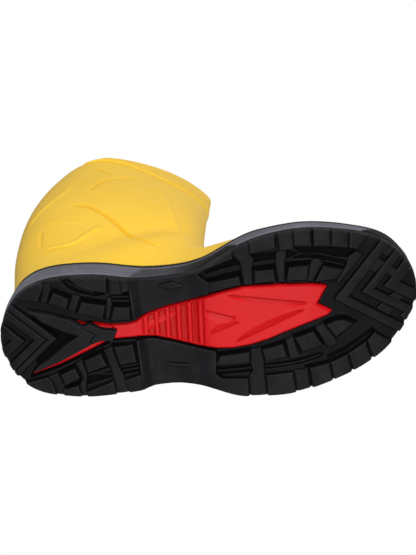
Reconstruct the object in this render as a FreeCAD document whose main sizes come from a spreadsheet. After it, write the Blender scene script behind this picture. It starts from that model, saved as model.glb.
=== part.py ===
"""Left deck boot, size EU 42: a parametric FreeCAD document.

Millimetres. The boot stands on its sole: +Z is up, the toe points along -Y,
the medial (inner) side is -X and the lateral (outer) side is +X.
Plan positions are written as (along, across): along runs from the heel's
back to the toe, across is positive on the medial side.
"""

import FreeCAD
import Part
import math
import os
from FreeCAD import Vector

doc = FreeCAD.newDocument("deck_boot")

# ---------------------------------------------------------------- sizes
SIZES = [
    ("sole_length", 306.0, "heel back to toe tip of the outsole"),
    ("plan_scale", 1.0, "scales the widths of the plan outline"),
    ("shaft_scale", 1.0, "scales heights above the lip"),
    ("lug_depth", 3.2, "lug face to base level"),
    ("channel_depth", 2.0, "base level to channel floor"),
    ("upper_wall", 3.6, "wall of the moulded upper"),
    ("lining_wall", 1.4, "knitted lining with its foam backing"),
    ("board_thick", 2.0, "insole board"),
    ("footbed_thick", 5.0, "foam footbed"),
    ("cover_thick", 0.9, "textile cover of the footbed"),
    ("pad_thick", 2.2, "shock pad let into the footbed's heel"),
    ("block_width", 170.0, "width of the side-profile solids"),
    ("block_height", 60.0, "height of the plan prisms"),
    ("rib_pitch", 8.0, "pitch of the arch ribs"),
    ("rib_gap", 2.6, "width of each groove between arch ribs"),
    ("inlay_face", 0.8, "inlay face above the lug faces"),
    ("outline_inset", 12.0, "footbed outline inside the sole outline"),
]
sheet = doc.addObject("Spreadsheet::Sheet", "Sizes")
for row, (alias, value, note) in enumerate(SIZES, start=1):
    sheet.set(f"A{row}", note)
    sheet.set(f"B{row}", str(value))
    sheet.setAlias(f"B{row}", alias)
doc.recompute()
size = {alias: float(sheet.get(alias)) for alias, _value, _note in SIZES}

ALONG = size["sole_length"] / 306.0
ACROSS = size["plan_scale"]
MID_ALONG = 146.41
MID_ACROSS = 2.74


def at(along, across, z):
    """A point of the boot, from plan position and height."""
    return Vector(-across * ACROSS - MID_ACROSS, MID_ALONG - along * ALONG, z)


# ---------------------------------------------------------------- profiles
# Side profiles, as (along, height) points.
TREAD = [(-6, 5), (0, 3), (8, 0.6), (14, 0), (60, 0), (97, 0), (106, 6), (125, 6.2),
         (140, 4), (150, 1.2), (158, 0), (200, 0), (225, 1.1), (250, 4.2), (275, 9.5),
         (292, 14.3), (312, 21)]
BASE = [(-6, 5.5), (0, 4.8), (14, 3.2), (97, 3.2), (106, 7.6), (125, 7.8), (140, 6.4),
        (158, 3.2), (200, 3.2), (225, 4.3), (250, 7.4), (275, 12.7), (292, 17.5), (312, 24.2)]
SOLE_TOP = [(-6, 10), (20, 9.0), (97, 9.0), (125, 11.5), (158, 9), (200, 8),
            (225, 9.1), (250, 12.2), (275, 17.5), (292, 22.3), (312, 29)]
LIP = [(-6, 38.5), (30, 37), (60, 36), (91, 36), (111, 35), (131, 33.5), (149, 30.8), (167, 27.5),
       (185, 25.4), (214, 25), (241, 27), (261, 29.5), (281, 33.2), (312, 42)]
INLAY = [(-6, 8), (6, 4.4), (20, 4.0), (60, 4.0), (88, 4.2), (98, 4.8), (106, 6.9), (125, 7.1),
         (140, 4.9), (152, 2.0), (165, 0.9), (200, 0.8), (225, 1.9), (250, 5.0), (275, 10.3),
         (292, 15.1), (312, 23)]

# ---------------------------------------------------------------- outlines
OUTLINE = [(0, 0), (3, 13), (11, 27), (21, 36.5), (36, 42), (58, 43), (80, 40.5), (100, 36),
           (125, 34), (148, 37), (170, 47), (187, 54), (205, 57.5), (222, 58.5), (241, 56),
           (260, 50.5), (276, 43), (289, 33), (299, 20), (305, 7), (305, -6), (300, -16),
           (289, -30), (277, -41), (260, -50), (239, -57), (221, -61.5), (203, -64),
           (186, -63), (168, -60.5), (151, -54), (134, -49), (117, -47), (99, -48),
           (80, -49), (60, -48.5), (40, -45), (22, -39), (9, -27), (2, -13)]
INLAY_OUTLINE = [(83, 3.5), (93, 3), (100, 3.8), (108, 7.5), (122, 11), (136, 13.5),
                 (150, 16.3), (165, 19.5), (178, 21), (192, 20.7), (208, 19.3), (224, 17.5),
                 (236, 15.3), (239, 13.5), (231, 1.5), (241, -5.5), (238, -8.2), (220, -12.8),
                 (205, -17), (192, -21), (180, -23.4), (168, -24.3), (156, -23.6), (142, -20.5),
                 (126, -15.2), (112, -10.4), (100, -8.8), (90, -8.2), (79, -8)]
ARROW = [(24.5, 22), (40, 17), (53, 11.2), (61, 5), (66.5, 6.5), (74, 1.8), (84.5, -0.8),
         (81, -8), (73, -6.5), (66, -8.5), (40, -19.5), (21.5, -25), (25, -21.5), (34, -16.5),
         (46, -8), (57.5, -1.2), (45.5, 4.6), (33, 12.5)]
ARROW_BED = [(24.5, 22.5), (40, 17.5), (53.2, 11.8), (62, 7.8), (66.8, 7.8), (84.5, 3.3),
             (80.5, -7.9), (77, -9.8), (66, -13.2), (40, -24.4), (18, -29.3), (22, -23),
             (33.6, -16.2), (45.6, -7.7), (57, -1.2), (45.2, 4.3), (32.6, 12.2)]

INNER_LUGS = [
    [(154, 20.5), (178, 23.5), (177, 29.5), (155, 27.5)],
    [(188, 23.5), (202.5, 23.5), (202, 32.5), (189, 33)],
    [(211, 22.5), (225, 21.5), (227, 31.5), (213.5, 32)],
    [(231.5, 19), (246.5, 18.7), (251, 24.5), (238, 29.5)],
    [(157, -29.5), (178, -28.8), (177.5, -36.5), (154, -36)],
    [(188.5, -28), (203, -25.5), (205, -35.5), (189.5, -37)],
    [(213, -22), (226, -19), (231.5, -30), (217, -33)],
    [(236.5, -15.5), (243, -13.4), (249, -13.6), (255.5, -17.5), (242.5, -25.3)],
    [(40, 26), (51.5, 21), (54.5, 27.5), (44.5, 33.5)],
    [(59.5, 16.5), (76.5, 10.5), (79.5, 19.5), (63.5, 24)],
    [(82.5, 8), (96, 7), (97.2, 16.3), (86, 17.5)],
    [(40, -30), (50.5, -26), (53, -33.5), (42, -38)],
    [(59, -21), (71, -17), (74, -26.5), (60, -30)],
    [(82, -13), (95, -12.5), (96, -26), (84, -27)],
]
OUTER_LUGS = [
    [(17, 33), (32, 28.5), (38, 40), (30, 48), (12, 46)],
    [(40, 39.5), (52, 40), (54, 50), (40, 50)],
    [(57, 43.5), (62, 37), (70, 32.5), (82, 29.5), (84, 50), (57, 50)],
    [(92.5, 28), (101, 29), (103, 50), (94.5, 50)],
    [(14, -33), (30, -30.5), (32.5, -34), (36, -52), (10, -50)],
    [(40, -41.5), (51, -40), (54, -56), (40, -56)],
    [(57, -45.5), (77, -39.5), (79, -58), (57, -58)],
    [(86, -39.5), (98, -37), (100, -58), (89.5, -58)],
    [(187, 45.8), (205, 47.5), (206, 68), (187, 66)],
    [(218, 47.5), (230.5, 45.8), (231.8, 68), (219, 68)],
    [(232.8, 45.5), (243.3, 43.6), (245, 66), (234, 66)],
    [(245.3, 43.2), (256, 40.4), (258, 62), (247, 62)],
    [(258, 39.8), (263.5, 38), (273, 48), (268, 62), (260, 62)],
    [(189, -48.5), (208, -48.3), (209.5, -72), (188.5, -72)],
    [(221.5, -46.8), (234.5, -45.3), (237, -70), (222.5, -70)],
    [(236.5, -45), (248.5, -40.8), (252, -66), (239, -66)],
    [(250.5, -40), (263, -34), (269, -60), (254, -60)],
    [(265, -33), (271, -28), (283, -38), (279, -54), (270, -54)],
]
CHANNELS = [
    [(157, 31), (180, 35), (215, 37.5), (236, 35), (257, 27), (262, 36), (250, 41), (232, 44.5),
     (216, 45.5), (186, 44.5), (172, 41.5), (153, 36)],
    [(154, -38), (188, -38.5), (216, -35), (232, -34), (255, -29), (262, -26), (270, -26.5),
     (250, -38.5), (234, -43.5), (214, -46.5), (186, -47), (157, -45)],
    [(55, 41), (66, 31), (80, 25), (98, 20.5), (99, 26), (82, 28.5), (69, 31.5), (60, 38)],
    [(44, -39), (60, -32), (80, -28.5), (97, -28), (98, -36), (78, -38), (60, -43.5)],
]


def chevron(apex_out, apex_in, up_slope, down_slope, up_end, down_end):
    """A V bar in plan: two apexes on its axis and an arm on each side."""
    (s_out, m_out), (s_in, m_in) = apex_out, apex_in
    return [
        (s_out, m_out),
        (s_out + up_end, m_out + up_end * up_slope),
        (s_in + up_end, m_in + up_end * up_slope),
        (s_in, m_in),
        (s_in + down_end, m_in - down_end * down_slope),
        (s_out + down_end, m_out - down_end * down_slope),
    ]


# Each toe V opens to the toe and each heel V opens to the heel.
TOE_BARS = [
    chevron((244, 3.5), (253.5, 3.5), 1.0, 0.75, 46, 56),
    chevron((264.5, 5), (273, 5.5), 1.0, 0.72, 40, 50),
    chevron((281, 6), (292.5, 6.5), 1.0, 0.72, 30, 30),
]
HEEL_BARS = [
    chevron((17.5, 0), (9, 0.5), -1.05, -0.8, -20, -20),
    chevron((35.5, -1), (25.5, -0.5), -1.05, -0.8, -36, -36),
]
LINKS = [
    [(270, 21), (278, 28.5), (282.5, 24), (275, 18)],
    [(281, 31), (287, 37), (291, 33), (285, 28)],
    [(274, -9.5), (278.5, -6.5), (287, -13), (283, -16.5)],
    [(282.5, 15.5), (287, 20), (292, 15.5), (288, 12)],
    [(284.5, -2.3), (288, -0.2), (294.5, -5), (291, -8.3)],
]
WAIST = [(98.5, -62), (98.5, -10.5), (101, -9), (101, 5), (98.5, 7), (98.5, 52), (174, 60),
         (174, 43.7), (152, 37.3), (148, 34), (155, 27.5), (154, 20.5), (154, -29),
         (153, -37), (152, -43), (156, -47), (175, -49.3), (174, -70)]


# ---------------------------------------------------------------- helpers
def feature(name, shape):
    item = doc.addObject("Part::Feature", name)
    item.Shape = shape
    return item


def polygon_face(points, z=0.0):
    corners = [at(along, across, z) for along, across in points]
    return Part.Face(Part.makePolygon(corners + [corners[0]]))


def spline_face(points, z=0.0):
    curve = Part.BSplineCurve()
    curve.interpolate([at(along, across, z) for along, across in points], PeriodicFlag=True)
    return Part.Face(Part.Wire([curve.toShape()]))


def prism(name, face, length="Sizes.block_height"):
    """A plan face pulled straight up, its height bound to the sheet."""
    base = feature(name + "_face", face)
    item = doc.addObject("Part::Extrusion", name)
    item.Base = base
    item.DirMode = "Custom"
    item.Dir = Vector(0, 0, 1)
    item.Solid = True
    item.setExpression("LengthFwd", length)
    return item


def profile_points(points, lift):
    half = size["block_width"] / 2
    return [Vector(-half, MID_ALONG - along * ALONG, z + lift) for along, z in points]


def layer(name, low, high, low_lift=0.0, high_lift=0.0, smooth_top=False):
    """The solid between two side profiles, right across the boot."""
    bottom = profile_points(low, low_lift)
    top = profile_points(high, high_lift)
    edges = list(Part.makePolygon([top[0]] + bottom + [top[-1]]).Edges)
    if smooth_top:
        line = Part.BSplineCurve()
        line.interpolate(top)
        edges.append(line.toShape())
    else:
        edges += list(Part.makePolygon(top).Edges)
    base = feature(name + "_side", Part.Face(Part.Wire(Part.__sortEdges__(edges))))
    item = doc.addObject("Part::Extrusion", name)
    item.Base = base
    item.DirMode = "Custom"
    item.Dir = Vector(1, 0, 0)
    item.Solid = True
    item.setExpression("LengthFwd", "Sizes.block_width")
    return item


def common(name, *items):
    """What all the items share, taken one pair at a time."""
    out = items[0]
    for i, item in enumerate(items[1:]):
        pair = doc.addObject("Part::Common", name if i == len(items) - 2 else f"{name}_{i}")
        pair.Base = out
        pair.Tool = item
        out = pair
    return out


def fuse(name, *items):
    out = doc.addObject("Part::MultiFuse", name)
    out.Shapes = list(items)
    return out


def cut(name, base, tool):
    out = doc.addObject("Part::Cut", name)
    out.Base = base
    out.Tool = tool
    return out


# ---------------------------------------------------------------- upper form
# Each ring is a plane section of the upper. It runs from a point on the sole,
# heel or back line to a point on the toe, instep or front line:
# back (along, z), front (along, z), medial and lateral reach, centre across,
# place of the widest part, squareness of the back end and of the front end.
RINGS = [
    ((301.5, 33), (301.5, 42), 8, 8, 1.5, 0.5, 2.0, 2.0),
    ((298, 31), (298, 49), 16, 15, 1.5, 0.45, 2.2, 2.0),
    ((291, 28), (291, 56), 26, 25, 1.5, 0.4, 2.6, 2.0),
    ((280, 24.8), (280, 62), 36, 36, 1.0, 0.36, 3.0, 2.0),
    ((265, 21.2), (265, 68), 45, 45, 0.5, 0.32, 3.4, 2.0),
    ((245, 17.4), (245, 74), 52, 52, -0.5, 0.3, 3.8, 2.0),
    ((222, 15), (222, 82), 55.5, 56, -1.5, 0.28, 4.0, 2.0),
    ((200, 14), (200, 92), 56, 56.5, -3.5, 0.26, 4.0, 2.0),
    ((180, 15), (180, 103), 52, 53, -5.5, 0.25, 4.0, 2.0),
    ((160, 17), (165, 115), 44, 45.5, -7.5, 0.26, 4.0, 2.1),
    ((140, 19), (157, 126), 38.5, 39, -7.0, 0.3, 3.8, 2.2),
    ((118, 21.5), (152, 133), 36, 37, -6.0, 0.34, 3.6, 2.3),
    ((95, 23.5), (149.5, 138), 37.5, 38, -5.0, 0.36, 3.4, 2.3),
    ((72, 24.5), (148.5, 142), 39.5, 40, -3.5, 0.38, 3.2, 2.3),
    ((50, 25), (148, 146), 40.5, 41, -2.5, 0.4, 3.0, 2.3),
    ((30, 26), (147.7, 149.5), 40.5, 40.5, -2.0, 0.42, 2.8, 2.3),
    ((14, 29.5), (147.6, 153), 40, 40, -1.7, 0.44, 2.6, 2.3),
    ((5, 38), (147.6, 157), 39.5, 39.5, -1.5, 0.46, 2.5, 2.3),
    ((1.5, 54), (147.6, 162), 40, 40, -1.2, 0.47, 2.4, 2.3),
    ((-0.9, 78), (147.6, 168), 41.6, 41, -0.5, 0.48, 2.3, 2.3),
    ((-3.8, 104), (147.9, 177), 43.3, 42, 0.2, 0.48, 2.33, 2.28),
    ((-7.8, 134), (148.2, 190), 45.7, 43.8, 1.0, 0.46, 2.34, 2.17),
    ((-10.6, 165), (149, 206), 48.4, 46, 1.0, 0.44, 2.36, 2.06),
    ((-12.3, 200), (150.1, 227), 51.2, 48.8, 0.5, 0.41, 2.36, 1.93),
    ((-12.9, 238), (151.6, 255), 53.2, 51, -0.6, 0.39, 2.31, 1.82),
    ((-10.8, 272), (153.6, 287), 54.8, 52.5, -1.6, 0.38, 2.25, 1.7),
    ((-7.4, 300), (155.9, 318), 57, 53.5, -2.6, 0.38, 2.1, 1.57),
    ((-6.0, 314), (157.6, 336), 58.4, 54, -3.0, 0.39, 1.95, 1.5),
]
RING_POINTS = 22
LOFT_RUNS = [(0, 9), (9, 18), (18, 27)]


def power(value, exponent):
    return math.copysign(abs(value) ** exponent, value)


def ring_wire(ring, inset, floor_inset):
    """One closed section of the form, drawn inset by a wall thickness."""
    (s_b, z_b), (s_t, z_t), medial, lateral, centre, widest, n_back, n_front = ring
    span = math.hypot(s_t - s_b, z_t - z_b)
    ds, dz = (s_t - s_b) / span, (z_t - z_b) / span
    s_b, z_b = s_b + ds * floor_inset, z_b + dz * floor_inset
    span = span - inset - floor_inset
    points = []
    for k in range(RING_POINTS):
        angle = 2 * math.pi * k / RING_POINTS
        run, side = -math.cos(angle), math.sin(angle)
        n = n_back if run < 0 else n_front
        part = widest if run < 0 else 1 - widest
        place = (widest + part * power(run, 2 / n)) * span
        reach = (medial if side > 0 else lateral) - inset
        across = centre + reach * power(side, 2 / n)
        points.append(at(s_b + ds * place, across, z_b + dz * place))
    curve = Part.BSplineCurve()
    curve.interpolate(points, PeriodicFlag=True)
    return Part.Wire([curve.toShape()])


def slide(ring_a, ring_b, part):
    """A ring between two rings, or past the second when part is over 1."""
    def mix(a, b):
        return a + (b - a) * part
    pairs = [tuple(mix(a, b) for a, b in zip(ring_a[i], ring_b[i])) for i in (0, 1)]
    return tuple(pairs + [mix(a, b) for a, b in zip(ring_a[2:], ring_b[2:])])


TOE_PULL = (1.0, 0.9, 0.7, 0.45, 0.2)


def sections(inset, floor_inset, top=1.0):
    """The section wires, inset all round, the last ring slid up or down."""
    rings = list(RINGS)
    for i, pull in enumerate(TOE_PULL):
        (s_b, z_b), (s_t, z_t) = rings[i][:2]
        back = inset * pull
        grow = inset * (1 - i / len(TOE_PULL))
        reach = tuple(value + grow * (0.6 if i == 0 else 0.3) for value in rings[i][2:4])
        rings[i] = ((s_b - back, z_b - 0.4 * grow), (s_t - back, z_t + 0.4 * grow)) + reach + rings[i][4:]
    rings[-1] = slide(RINGS[-2], RINGS[-1], top)
    return [ring_wire(ring, inset, floor_inset) for ring in rings]


def skin(wires):
    """The side faces through the sections, in a few smooth runs."""
    faces = []
    for a, b in LOFT_RUNS:
        faces += Part.makeLoft(wires[a:b + 1], False, False, False, 3).Faces
    return faces


def closed(name, faces):
    shell = Part.makeShell(faces)
    shell.sewShape()
    solid = Part.Solid(shell)
    if solid.Volume < 0:
        solid.reverse()
    return feature(name, solid)


def form(name, inset, floor_inset, top=1.0):
    """The whole form as one solid."""
    wires = sections(inset, floor_inset, top)
    return closed(name, skin(wires) + [Part.Face(wires[0]), Part.Face(wires[-1])])


def sock(name, outer, inner, top=1.0):
    """A wall between two insets of the form, closed at the toe and open at the rim."""
    outside = sections(outer[0], outer[1], top)
    inside = sections(inner[0], inner[1], top)
    rim = Part.Face([outside[-1], inside[-1]], "Part::FaceMakerBullseye")
    faces = skin(outside) + skin(inside) + [rim, Part.Face(outside[0]), Part.Face(inside[0])]
    return closed(name, faces)


# ---------------------------------------------------------------- build
plan = prism("plan", spline_face(OUTLINE, -2.0))

# outsole: a base plate, the lugs under it and the channels cut into it
plate = common("plate", plan, layer("plate_layer", BASE, SOLE_TOP))
lug_layer = layer("lug_layer", TREAD, BASE, 0.0, 0.5)
lug_prisms = [prism(f"lug_{i}", polygon_face(points, -3.0))
              for i, points in enumerate(INNER_LUGS + OUTER_LUGS + TOE_BARS + HEEL_BARS + LINKS)]
waist_prism = prism("waist", polygon_face(WAIST, -3.0))
lug_stock = fuse("lug_stock", *(lug_prisms + [waist_prism]))
lugs = common("lugs", lug_stock, plan, lug_layer)
channel_layer = layer("channel_layer", BASE, BASE, -1.0, size["channel_depth"])
channel_prisms = [prism(f"channel_{i}", polygon_face(points, -3.0))
                  for i, points in enumerate(CHANNELS)]
channels = common("channels", fuse("channel_stock", *channel_prisms), channel_layer)
grooved = cut("grooved_plate", plate, channels)
sole_stock = fuse("sole_stock", grooved, lugs)
inlay_stock = prism("inlay_stock", polygon_face(INLAY_OUTLINE, -3.0))
bed_stock = prism("bed_stock", polygon_face(ARROW_BED, -3.0))
windows = fuse("windows", inlay_stock, bed_stock)
outsole = cut("outsole", sole_stock, windows)

# arch inlay: one plate from the arrow's bed to the ball, with cross ribs
rib_cuts = []
for i in range(6):
    groove = doc.addObject("Part::Box", f"rib_groove_{i}")
    groove.setExpression("Length", "Sizes.block_width")
    groove.setExpression("Width", "Sizes.rib_gap")
    groove.Height = 10
    groove.Placement = FreeCAD.Placement(Vector(-85, MID_ALONG - 148.5, -2.0), FreeCAD.Rotation())
    groove.setExpression("Placement.Base.y", f"{MID_ALONG - 148.5} + {i} * Sizes.rib_pitch")
    rib_cuts.append(groove)
rib_layer = layer("rib_layer", INLAY, INLAY, -6.0, 1.1)
ribs = common("ribs", fuse("rib_stock", *rib_cuts), rib_layer)
inlay_solid = common("inlay_solid", windows, layer("inlay_layer", INLAY, SOLE_TOP, 0.0, 0.0))
shank_inlay = cut("shank_inlay", inlay_solid, ribs)
heel_arrow = common("heel_arrow", prism("arrow_stock", polygon_face(ARROW, -3.0)),
                    layer("arrow_layer", TREAD, INLAY))

# upper, lining and what lies inside, all from the same form
WALL = size["upper_wall"]
LINING = WALL + size["lining_wall"]
upper = sock("upper", (0.0, 0.0), (WALL, 3.0))
lining = sock("lining", (WALL + 0.05, 3.05), (LINING, 3.0 + size["lining_wall"]), 0.86)
seat_form = form("seat_form", -0.1, -0.1)

midsole_block = common("midsole_block", plan, layer("midsole_layer", SOLE_TOP, LIP, smooth_top=True))
midsole = cut("midsole", midsole_block, seat_form)

# layers under the foot
FLOOR = [(-6, 40), (6, 32), (20, 31.4), (50, 29.9), (72, 29.3), (95, 28.2), (118, 26.2), (140, 23.8),
         (160, 21.8), (180, 19.7), (200, 18.6), (222, 19.6), (245, 22), (265, 25.8), (280, 29.4),
         (291, 33), (312, 41)]
CENTRE = [(-20, -2), (60, -2.8), (120, -6.5), (160, -8.5), (200, -3.5), (250, 0), (330, 2)]


def centre_across(along):
    """The middle line of the sole at one place along it."""
    for (a, low), (b, high) in zip(CENTRE, CENTRE[1:]):
        if a <= along <= b:
            return low + (high - low) * (along - a) / (b - a)
    return 0.0


def inset_point(along, across):
    middle = centre_across(along)
    half = abs(across - middle)
    side = math.copysign(max(half - size["outline_inset"] * min(1.0, half / 30.0), 0.0), across - middle)
    return (150 + (along - 150) * 0.915, middle + side)


BED_OUTLINE = [inset_point(along, across) for along, across in OUTLINE]
bed_prism = prism("bed_prism", spline_face(BED_OUTLINE, -2.0))
board_z = size["board_thick"]
bed_z = board_z + size["footbed_thick"]
cover_z = bed_z + size["cover_thick"]
insole_board = common("insole_board", bed_prism,
                      layer("board_layer", FLOOR, FLOOR, 0.2, board_z))
footbed_solid = common("footbed_solid", bed_prism,
                       layer("bed_layer", FLOOR, FLOOR, board_z, bed_z))
pad_outline = [(34 + 19 * math.cos(math.radians(a)) + 6, -2 + 16 * math.sin(math.radians(a)))
               for a in range(0, 360, 30)]
pad_prism = prism("pad_prism", spline_face(pad_outline, -2.0))
heel_pad = common("heel_pad", pad_prism,
                  layer("pad_layer", FLOOR, FLOOR, board_z, board_z + size["pad_thick"]))
footbed = cut("footbed", footbed_solid, heel_pad)
footbed_cover = common("footbed_cover", bed_prism,
                       layer("cover_layer", FLOOR, FLOOR, bed_z, cover_z))

NODES = [
    ("outsole", outsole, (0.10, 0.10, 0.11)),
    ("heel_arrow", heel_arrow, (0.12, 0.12, 0.13)),
    ("shank_inlay", shank_inlay, (0.82, 0.14, 0.14)),
    ("midsole", midsole, (0.38, 0.38, 0.41)),
    ("upper", upper, (0.96, 0.78, 0.20)),
    ("lining", lining, (0.25, 0.25, 0.27)),
    ("insole_board", insole_board, (0.72, 0.66, 0.55)),
    ("footbed", footbed, (0.30, 0.30, 0.32)),
    ("footbed_cover", footbed_cover, (0.20, 0.20, 0.22)),
    ("heel_pad", heel_pad, (0.85, 0.45, 0.15)),
]

doc.recompute()
os.makedirs("parts", exist_ok=True)
for name, item, _colour in NODES:
    item.Label = name
    if "Invalid" in item.State or "Error" in item.State:
        raise RuntimeError(f"{name} did not recompute: {item.State}")
    shape = item.Shape
    if shape.isNull() or not shape.isValid():
        raise RuntimeError(f"{name} is not a valid shape")
    box = shape.optimalBoundingBox(True, False)
    print(name, "solids", len(shape.Solids), "volume", round(shape.Volume / 1000, 2), "cm3",
          [round(v, 2) for v in (box.XMin, box.XMax, box.YMin, box.YMax, box.ZMin, box.ZMax)])
    shape.exportStep(f"parts/{name}.step")
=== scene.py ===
"""Blender scene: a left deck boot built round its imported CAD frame.

Plan positions are (along, across) in millimetres, as in the CAD: along runs
from the heel's back to the toe, across is positive on the medial side, and
heights are above the ground. place() turns them into metres in the row frame.
"""
import math

import bmesh
import bpy
import numpy as np
from mathutils import Matrix, Vector
from mathutils.bvhtree import BVHTree


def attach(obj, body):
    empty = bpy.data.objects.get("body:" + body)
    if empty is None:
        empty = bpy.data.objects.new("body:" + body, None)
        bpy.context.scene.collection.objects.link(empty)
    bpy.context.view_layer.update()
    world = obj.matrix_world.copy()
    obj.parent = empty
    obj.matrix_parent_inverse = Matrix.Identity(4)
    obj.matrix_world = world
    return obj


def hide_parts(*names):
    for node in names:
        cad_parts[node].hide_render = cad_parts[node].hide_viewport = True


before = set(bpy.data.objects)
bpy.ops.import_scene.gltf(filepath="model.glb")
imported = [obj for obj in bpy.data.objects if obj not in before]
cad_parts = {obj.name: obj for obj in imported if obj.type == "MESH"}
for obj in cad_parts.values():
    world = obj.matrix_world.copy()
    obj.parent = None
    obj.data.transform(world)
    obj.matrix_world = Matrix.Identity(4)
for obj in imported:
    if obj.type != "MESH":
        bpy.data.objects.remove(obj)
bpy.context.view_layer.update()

MM = 0.001
MID_ALONG = 146.41
MID_ACROSS = 2.74


def place(points):
    """(along, across, height) in millimetres to metres in the row frame."""
    p = np.asarray(points, dtype=float)
    return np.stack([-p[:, 1] - MID_ACROSS, MID_ALONG - p[:, 0], p[:, 2]], 1) * MM


# ---------------------------------------------------------------- curves
def cubic(knots, values, where, closed=False):
    """A cubic spline through values at knots, read at where.

    A closed spline takes one more knot than values: the knot that ends its
    last span, back at the first value.
    """
    x = np.asarray(knots, float)
    y = np.asarray(values, float)
    if closed:
        y = np.concatenate([y, y[:1]])
    n = len(x)
    h = np.diff(x)
    a = np.zeros((n, n))
    b = np.zeros_like(y)
    slope = np.diff(y, axis=0) / h.reshape((-1,) + (1,) * (y.ndim - 1))
    for i in range(1, n - 1):
        a[i, i - 1], a[i, i], a[i, i + 1] = h[i - 1], 2 * (h[i - 1] + h[i]), h[i]
        b[i] = 6 * (slope[i] - slope[i - 1])
    if closed:
        a[0, 0], a[0, -1] = 1, -1
        a[-1, 0], a[-1, 1] = 2 * (h[0] + h[-1]), h[0]
        a[-1, -2] = h[-1]
        b[-1] = 6 * (slope[0] - slope[-1])
    else:
        a[0, 0] = a[-1, -1] = 1
    curve = np.linalg.solve(a, b.reshape(n, -1)).reshape(y.shape)
    w = np.asarray(where, float)
    k = np.clip(np.searchsorted(x, w, side="right") - 1, 0, n - 2)
    shape = (-1,) + (1,) * (y.ndim - 1)
    hk = h[k].reshape(shape)
    t = ((w - x[k]) / h[k]).reshape(shape)
    u = 1 - t
    return (u * y[k] + t * y[k + 1]
            + ((u ** 3 - u) * curve[k] + (t ** 3 - t) * curve[k + 1]) * hk ** 2 / 6)


def chord(points, closed=False):
    """Running length along points, a knot for each."""
    p = np.asarray(points, float)
    if closed:
        p = np.concatenate([p, p[:1]])
    steps = np.linalg.norm(np.diff(p, axis=0), axis=1)
    return np.concatenate([[0.0], np.cumsum(steps)])


def smooth_loop(points, count):
    """count points on the closed spline through points, evenly spaced."""
    knots = chord(points, True)
    fine = cubic(knots, points, np.linspace(0, knots[-1], count * 4, endpoint=False), True)
    length = chord(fine, True)
    even = np.linspace(0, length[-1], count, endpoint=False)
    ring = np.concatenate([fine, fine[:1]])
    return np.stack([np.interp(even, length, ring[:, i]) for i in range(2)], 1)


def smooth_line(points, step=1.0):
    """Points about step apart on the open spline through points."""
    knots = chord(points)
    count = max(2, int(knots[-1] / step))
    return cubic(knots, points, np.linspace(0, knots[-1], count))


def profile(points):
    """A function of along, through (along, height) points, softly rounded."""
    p = np.asarray(points, float)

    def read(along):
        a = np.asarray(along, float)
        return sum(np.interp(a + d, p[:, 0], p[:, 1]) for d in (-2.0, -1.0, 0.0, 1.0, 2.0)) / 5
    return read


def distance(points, a, c, closed=True):
    """Distance from plan points to a polyline."""
    p = np.asarray(points, float)
    q = np.roll(p, -1, 0) if closed else p[1:]
    best = np.full(a.shape, 1e9)
    for p0, p1 in zip(p, q):
        da, dc = p1 - p0
        length = max(da * da + dc * dc, 1e-12)
        t = np.clip(((a - p0[0]) * da + (c - p0[1]) * dc) / length, 0, 1)
        best = np.minimum(best, np.hypot(a - p0[0] - t * da, c - p0[1] - t * dc))
    return best


def inside_depth(points, a, c):
    """Signed distance to a closed polygon, positive inside it."""
    p = np.asarray(points, float)
    q = np.roll(p, -1, 0)
    odd = np.zeros(a.shape, bool)
    for (a0, c0), (a1, c1) in zip(p, q):
        if c0 != c1:
            odd ^= ((c0 > c) != (c1 > c)) & (a < (a1 - a0) * (c - c0) / (c1 - c0) + a0)
    return np.where(odd, 1.0, -1.0) * distance(points, a, c)


def soft_low(x, y, r):
    """The lower of x and y, blended over r."""
    h = np.clip(0.5 + 0.5 * (y - x) / r, 0, 1)
    return y + (x - y) * h - r * h * (1 - h)


def soft_high(x, y, r):
    """The higher of x and y, blended over r."""
    return -soft_low(-x, -y, r)


def ease(x, low, high):
    """0 up to low, 1 from high on, smooth between."""
    t = np.clip((np.asarray(x, float) - low) / (high - low), 0, 1)
    return t * t * (3 - 2 * t)


# ---------------------------------------------------------------- meshes
def add_object(name, data):
    """An object that shows data, linked to the scene."""
    item = bpy.data.objects.new(name, data)
    bpy.context.scene.collection.objects.link(item)
    return item


def make_piece(name, verts, faces, stands_for, material):
    """A smooth mesh object from millimetre points, riding on the boot's one body."""
    mesh = bpy.data.meshes.new(name)
    mesh.from_pydata(place(verts).tolist(), [], faces)
    mesh.update()
    mesh.validate()
    piece = add_object(name, mesh)
    mesh.materials.append(material)
    mesh.polygons.foreach_set("use_smooth", [True] * len(mesh.polygons))
    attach(piece, "root")
    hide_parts(stands_for)
    return piece


def paint(piece, name, values):
    """Stores one value per vertex, for the piece's material."""
    layer = piece.data.attributes.new(name, "FLOAT", "POINT")
    layer.data.foreach_set("value", np.asarray(values, np.float32).ravel())


def grid_faces(rows, columns):
    """Quads between rows of points, each row closed on itself."""
    r = np.arange(rows - 1)[:, None] * columns
    k = np.arange(columns)[None, :]
    n = (k + 1) % columns
    quads = np.stack([r + k, r + n, r + columns + n, r + columns + k], -1)
    return quads.reshape(-1, 4).tolist()


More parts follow.
